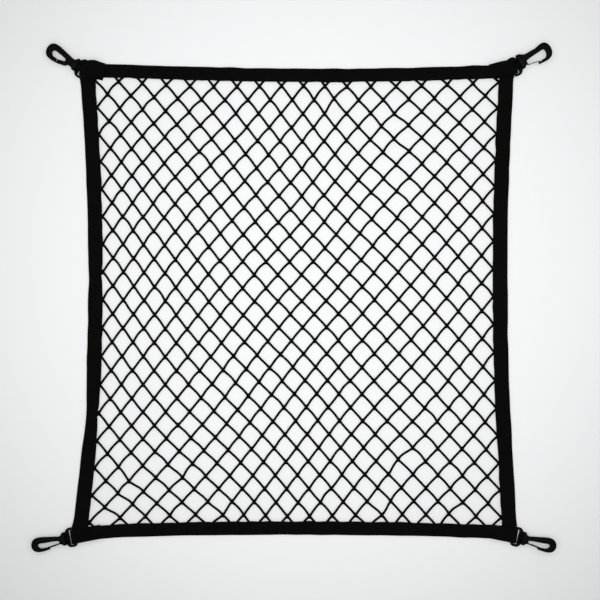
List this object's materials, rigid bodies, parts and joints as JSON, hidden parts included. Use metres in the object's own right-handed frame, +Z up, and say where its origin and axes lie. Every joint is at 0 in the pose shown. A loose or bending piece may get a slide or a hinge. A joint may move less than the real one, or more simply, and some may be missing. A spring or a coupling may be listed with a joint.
{
  "type": "cargo net",
  "caption": "Square cargo net of knotless cord bound with folded webbing, with a plastic swivel snap hook looped to each corner.",
  "frame": {"origin": "middle of the bounding box, on the surface that the net lies on", "axes": "+X along the top and bottom bands to the right, +Y towards the top band, +Z up from the surface"},
  "size_m": [0.7008, 0.6796, 0.008],
  "materials": {
    "mesh": "matt twisted cord",
    "webbing": "matt woven tape",
    "plastic": "satin moulded plastic"
  },
  "bodies": {
    "net": {"net": "mesh", "band_left": "webbing", "band_right": "webbing", "band_top": "webbing", "band_bottom": "webbing", "loop_top_left": "webbing", "loop_top_right": "webbing", "loop_bottom_left": "webbing", "loop_bottom_right": "webbing", "eye_top_left": "plastic", "eye_top_right": "plastic", "eye_bottom_left": "plastic", "eye_bottom_right": "plastic"},
    "hook_top_left": {"hook_top_left": "plastic"},
    "hook_top_right": {"hook_top_right": "plastic"},
    "hook_bottom_left": {"hook_bottom_left": "plastic"},
    "hook_bottom_right": {"hook_bottom_right": "plastic"},
    "gate_top_left": {"gate_top_left": "plastic"},
    "gate_top_right": {"gate_top_right": "plastic"},
    "gate_bottom_left": {"gate_bottom_left": "plastic"},
    "gate_bottom_right": {"gate_bottom_right": "plastic"}
  },
  "joints": [
    {"name": "swivel_top_left", "type": "hinge", "parent": "net", "child": "hook_top_left", "pos_m": [-0.2961, 0.315, 0.004], "axis": [-0.8368, 0.5476, 0], "continuous": true},
    {"name": "swivel_top_right", "type": "hinge", "parent": "net", "child": "hook_top_right", "pos_m": [0.3089, 0.31725, 0.004], "axis": [0.8572, 0.515, 0], "continuous": true},
    {"name": "swivel_bottom_left", "type": "hinge", "parent": "net", "child": "hook_bottom_left", "pos_m": [-0.31315, -0.3239, 0.004], "axis": [-0.9781, -0.2079, 0], "continuous": true},
    {"name": "swivel_bottom_right", "type": "hinge", "parent": "net", "child": "hook_bottom_right", "pos_m": [0.3134, -0.32365, 0.004], "axis": [0.9715, -0.2368, 0], "continuous": true},
    {"name": "tongue_top_left", "type": "hinge", "parent": "hook_top_left", "child": "gate_top_left", "pos_m": [-0.29829, 0.31165, 0.004], "axis": [0, 0, -1], "range_deg": [0, 21.8], "stiffness_Nm_per_rad": 0.03},
    {"name": "tongue_top_right", "type": "hinge", "parent": "hook_top_right", "child": "gate_top_right", "pos_m": [0.31096, 0.31382, 0.004], "axis": [0, 0, 1], "range_deg": [0, 28.2], "stiffness_Nm_per_rad": 0.03},
    {"name": "tongue_bottom_left", "type": "hinge", "parent": "hook_bottom_left", "child": "gate_bottom_left", "pos_m": [-0.31232, -0.32781, 0.004], "axis": [0, 0, -1], "range_deg": [0, 15.8], "stiffness_Nm_per_rad": 0.03},
    {"name": "tongue_bottom_right", "type": "hinge", "parent": "hook_bottom_right", "child": "gate_bottom_right", "pos_m": [0.31245, -0.32754, 0.004], "axis": [0, 0, 1], "range_deg": [0, 15.8], "stiffness_Nm_per_rad": 0.03}
  ]
}
